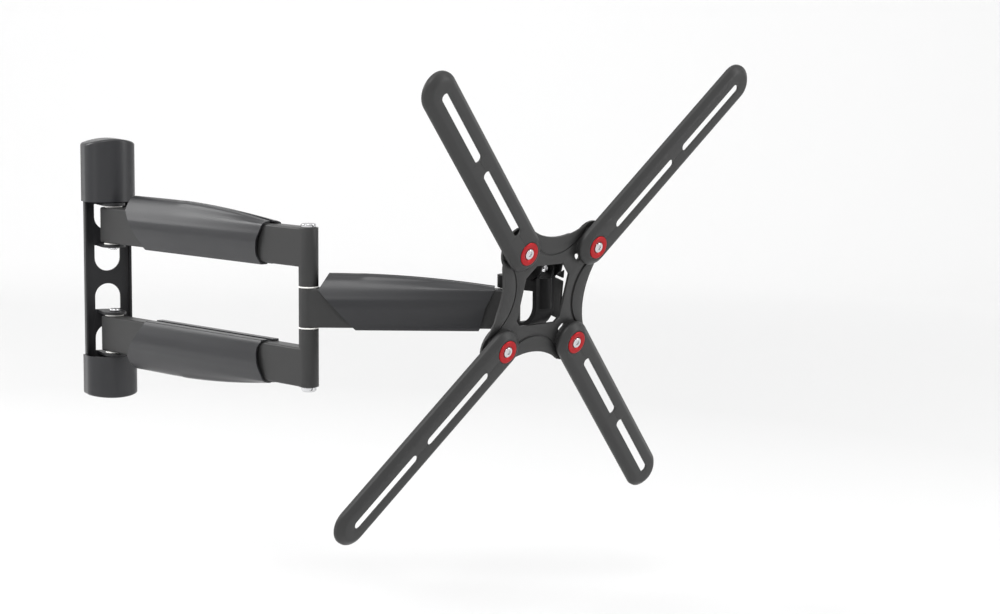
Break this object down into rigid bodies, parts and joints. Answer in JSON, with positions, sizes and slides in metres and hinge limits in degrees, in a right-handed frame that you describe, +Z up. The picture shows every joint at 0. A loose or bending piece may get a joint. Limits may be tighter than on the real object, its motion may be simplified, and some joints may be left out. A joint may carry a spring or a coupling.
{
  "type": "full motion tv wall mount",
  "caption": "Wall bracket with paired swinging arms, a single forearm, and a tilting swivel head carrying a centre plate with slotted television arms.",
  "frame": {"origin": "on the wall face of the bracket, on its centre line, midway between the upper and lower arm", "axes": "+X right along the wall seen from the room, +Y into the wall, +Z up"},
  "size_m": [0.5663, 0.6397, 0.4453],
  "materials": {
    "powder_coat": "smooth black powder coat",
    "textured_coat": "fine textured black powder coat",
    "dark_plastic": "satin moulded plastic",
    "white_nylon": "moulded nylon",
    "bright_zinc": "bright plated steel",
    "red_anodised": "red anodised"
  },
  "bodies": {
    "wall_bracket": {"wall_plate": "powder_coat", "top_cap": "dark_plastic", "bottom_cap": "dark_plastic", "upper_wall_pin": "bright_zinc", "upper_pin_clip": "bright_zinc", "lower_wall_pin": "bright_zinc", "lower_pin_clip": "bright_zinc"},
    "arm_pair": {"upper_arm_tube": "textured_coat", "lower_arm_tube": "textured_coat", "upper_arm_cover_front": "dark_plastic", "lower_arm_cover_front": "dark_plastic", "upper_arm_cover_back": "dark_plastic", "lower_arm_cover_back": "dark_plastic", "upper_wall_bush_top": "white_nylon", "upper_wall_bush_bottom": "white_nylon", "lower_wall_bush_top": "white_nylon", "lower_wall_bush_bottom": "white_nylon", "elbow_bolt": "bright_zinc", "elbow_cap_nut": "bright_zinc"},
    "forearm": {"forearm_tube": "textured_coat", "forearm_cover_front": "dark_plastic", "forearm_cover_back": "dark_plastic", "elbow_bush_top": "white_nylon", "elbow_bush_bottom": "white_nylon", "head_bush_top": "white_nylon", "head_bush_bottom": "white_nylon"},
    "swivel_head": {"swivel_bracket": "powder_coat", "head_bolt": "bright_zinc", "head_nut": "bright_zinc", "tilt_bolt_left": "bright_zinc", "tilt_nut_left": "bright_zinc", "tilt_washer_left": "white_nylon", "tilt_bolt_right": "bright_zinc", "tilt_nut_right": "bright_zinc", "tilt_washer_right": "white_nylon"},
    "tv_plate": {"centre_plate": "textured_coat", "tilt_yoke": "powder_coat", "upper_left_washer": "red_anodised", "upper_left_screw": "bright_zinc", "upper_left_nut": "bright_zinc", "upper_right_washer": "red_anodised", "upper_right_screw": "bright_zinc", "upper_right_nut": "bright_zinc", "lower_right_washer": "red_anodised", "lower_right_screw": "bright_zinc", "lower_right_nut": "bright_zinc", "lower_left_washer": "red_anodised", "lower_left_screw": "bright_zinc", "lower_left_nut": "bright_zinc"},
    "tv_arm_upper_left": {"upper_left_tv_arm": "textured_coat"},
    "tv_arm_upper_right": {"upper_right_tv_arm": "textured_coat"},
    "tv_arm_lower_right": {"lower_right_tv_arm": "textured_coat"},
    "tv_arm_lower_left": {"lower_left_tv_arm": "textured_coat"}
  },
  "joints": [
    {"name": "wall_swivel", "type": "hinge", "parent": "wall_bracket", "child": "arm_pair", "pos_m": [0, -0.028, 0], "axis": [0, 0, 1], "range_deg": [-98, 62]},
    {"name": "elbow_swivel", "type": "hinge", "parent": "arm_pair", "child": "forearm", "pos_m": [0.1063, -0.35516, 0], "axis": [0, 0, -1], "range_deg": [-85, 150]},
    {"name": "head_swivel", "type": "hinge", "parent": "forearm", "child": "swivel_head", "pos_m": [0.28667, -0.44158, 0], "axis": [0, 0, 1], "range_deg": [-47, 120]},
    {"name": "tilt", "type": "hinge", "parent": "swivel_head", "child": "tv_plate", "pos_m": [0.30165, -0.47867, 0.0435], "axis": [0.9272, 0.3746, 0], "range_deg": [-20.7, 1.3]},
    {"name": "upper_left_swing", "type": "hinge", "parent": "tv_plate", "child": "tv_arm_upper_left", "pos_m": [0.26342, -0.53352, 0.06263], "axis": [0.3606, -0.8926, -0.2706], "range_deg": [-45, 45]},
    {"name": "upper_right_swing", "type": "hinge", "parent": "tv_plate", "child": "tv_arm_upper_right", "pos_m": [0.35614, -0.49606, 0.06263], "axis": [0.3606, -0.8926, -0.2706], "range_deg": [-45, 45]},
    {"name": "lower_right_swing", "type": "hinge", "parent": "tv_plate", "child": "tv_arm_lower_right", "pos_m": [0.346, -0.47097, -0.03364], "axis": [0.3606, -0.8926, -0.2706], "range_deg": [-45, 45]},
    {"name": "lower_left_swing", "type": "hinge", "parent": "tv_plate", "child": "tv_arm_lower_left", "pos_m": [0.25328, -0.50843, -0.03364], "axis": [0.3606, -0.8926, -0.2706], "range_deg": [-45, 45]}
  ]
}
